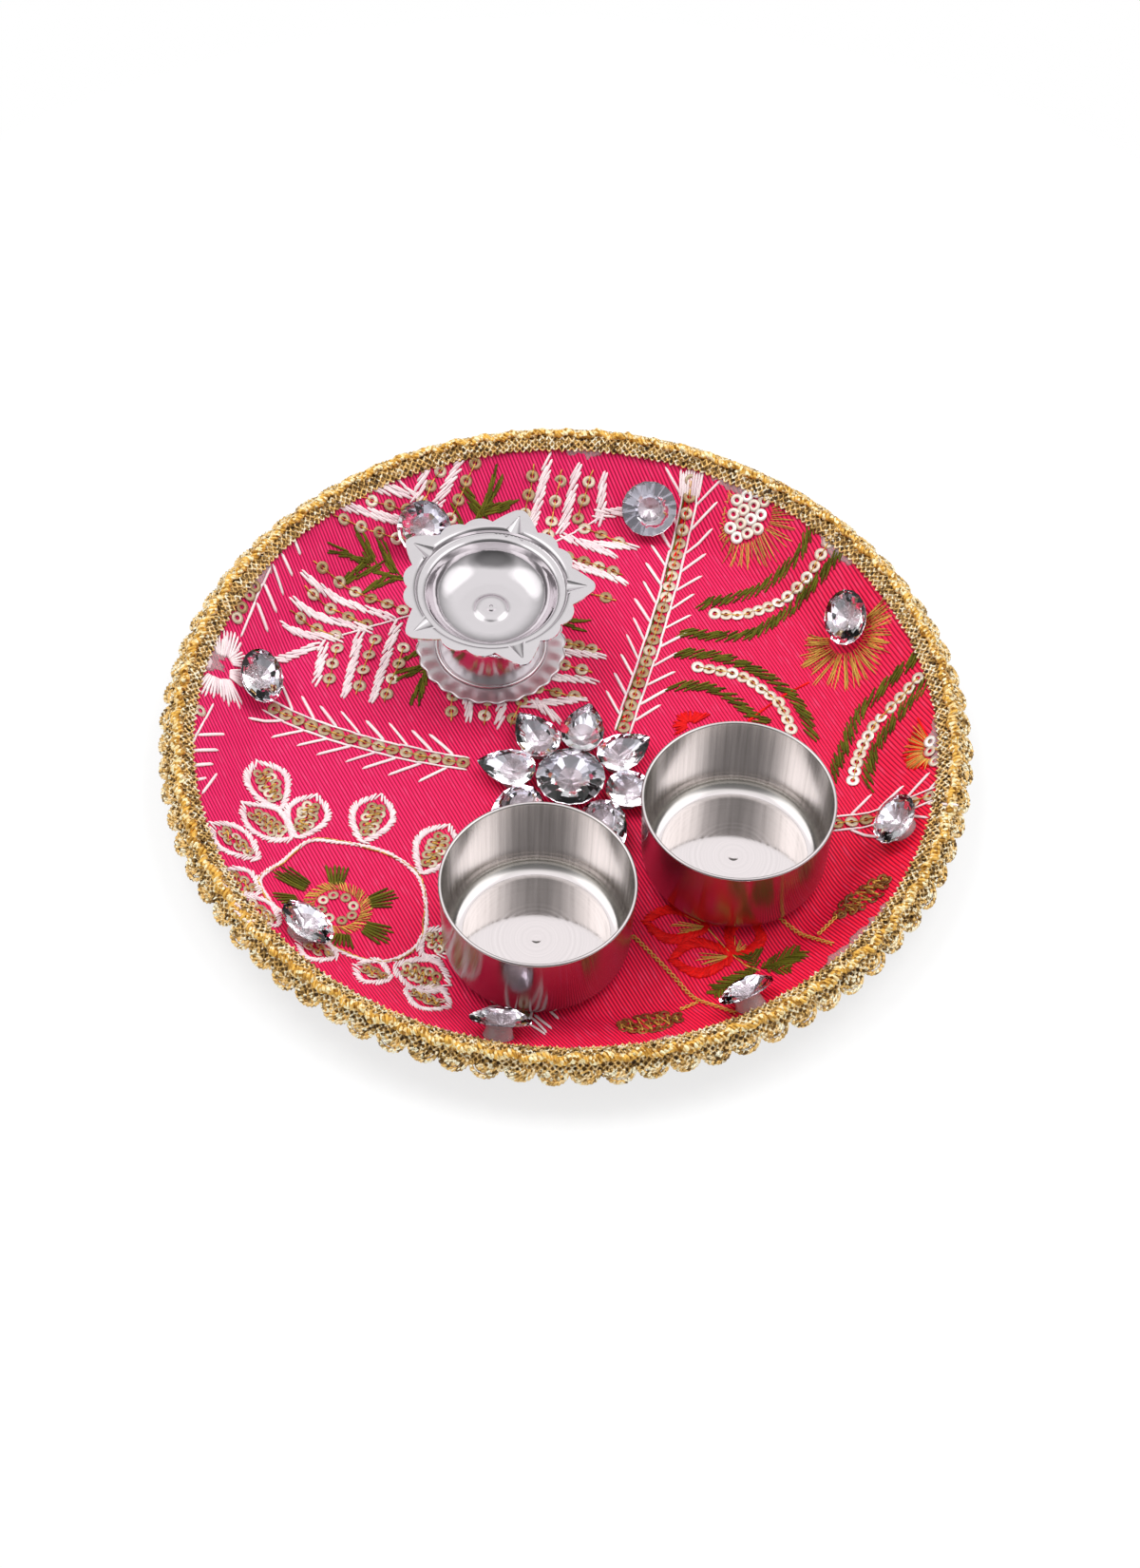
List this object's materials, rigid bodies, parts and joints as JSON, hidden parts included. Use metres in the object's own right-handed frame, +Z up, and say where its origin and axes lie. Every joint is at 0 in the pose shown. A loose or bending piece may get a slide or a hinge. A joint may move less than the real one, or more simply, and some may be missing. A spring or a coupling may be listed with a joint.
{
  "type": "puja thali",
  "caption": "Round satin-covered steel tray with gold lace, embroidery and glued clear stones, carrying lift-off katoris and a lift-off spouted oil lamp for worship.",
  "frame": {"origin": "centre of the plate's flat underside, at table level", "axes": "+Z up, out of the tray; -Y towards the person who holds the thali; +X to that person's right"},
  "size_m": [0.2232, 0.2232, 0.0287],
  "materials": {
    "steel": "bright spun stainless steel",
    "lamp_metal": "mirror-bright pressed sheet",
    "satin": "ribbed satin, pink to crimson",
    "lace": "pale gold metallic yarn",
    "lace_gold": "bright gold metallic yarn",
    "stone": "clear faceted acrylic with a silvered back",
    "glue": "clear set glue",
    "white_thread": "off-white embroidery thread",
    "red_thread": "red embroidery thread",
    "olive_thread": "olive embroidery thread"
  },
  "bodies": {
    "thali": {"thali_plate": "steel", "fabric_cover": "satin", "lace_band": "lace", "lace_cord": "lace_gold", "lace_loops": "lace", "centre_stone": "stone", "petal_stone_1": "stone", "petal_stone_2": "stone", "petal_stone_3": "stone", "petal_stone_4": "stone", "petal_stone_5": "stone", "petal_stone_6": "stone", "petal_stone_7": "stone", "petal_stone_8": "stone", "rim_stone_1": "stone", "rim_stone_2": "stone", "rim_stone_3": "stone", "rim_stone_4": "stone", "rim_stone_5": "stone", "rim_stone_6": "stone", "rim_stone_7": "stone", "rim_stone_8": "stone", "centre_glue": "glue", "petal_glue_1": "glue", "petal_glue_2": "glue", "petal_glue_3": "glue", "petal_glue_4": "glue", "petal_glue_5": "glue", "petal_glue_6": "glue", "petal_glue_7": "glue", "petal_glue_8": "glue", "rim_glue_1": "glue", "rim_glue_2": "glue", "rim_glue_3": "glue", "rim_glue_4": "glue", "rim_glue_5": "glue", "rim_glue_6": "glue", "rim_glue_7": "glue", "rim_glue_8": "glue", "stitch_fern": "white_thread", "stitch_vine_left": "white_thread", "stitch_vine_back": "white_thread", "stitch_vine_front": "white_thread", "stitch_wreath": "white_thread", "stitch_bloom": "red_thread", "stitch_arcs": "olive_thread"},
    "left_katori": {"katori_left": "steel"},
    "right_katori": {"katori_right": "steel"},
    "diya": {"diya_foot": "lamp_metal", "diya_dish": "lamp_metal", "diya_rivet": "lamp_metal"}
  },
  "joints": [
    {"name": "left_katori_lift", "type": "slide", "parent": "thali", "child": "left_katori", "axis": [0, 0, 1], "range_m": [0, 0.06]},
    {"name": "right_katori_lift", "type": "slide", "parent": "thali", "child": "right_katori", "axis": [0, 0, 1], "range_m": [0, 0.06]},
    {"name": "diya_lift", "type": "slide", "parent": "thali", "child": "diya", "axis": [0, 0, 1], "range_m": [0, 0.06]}
  ]
}
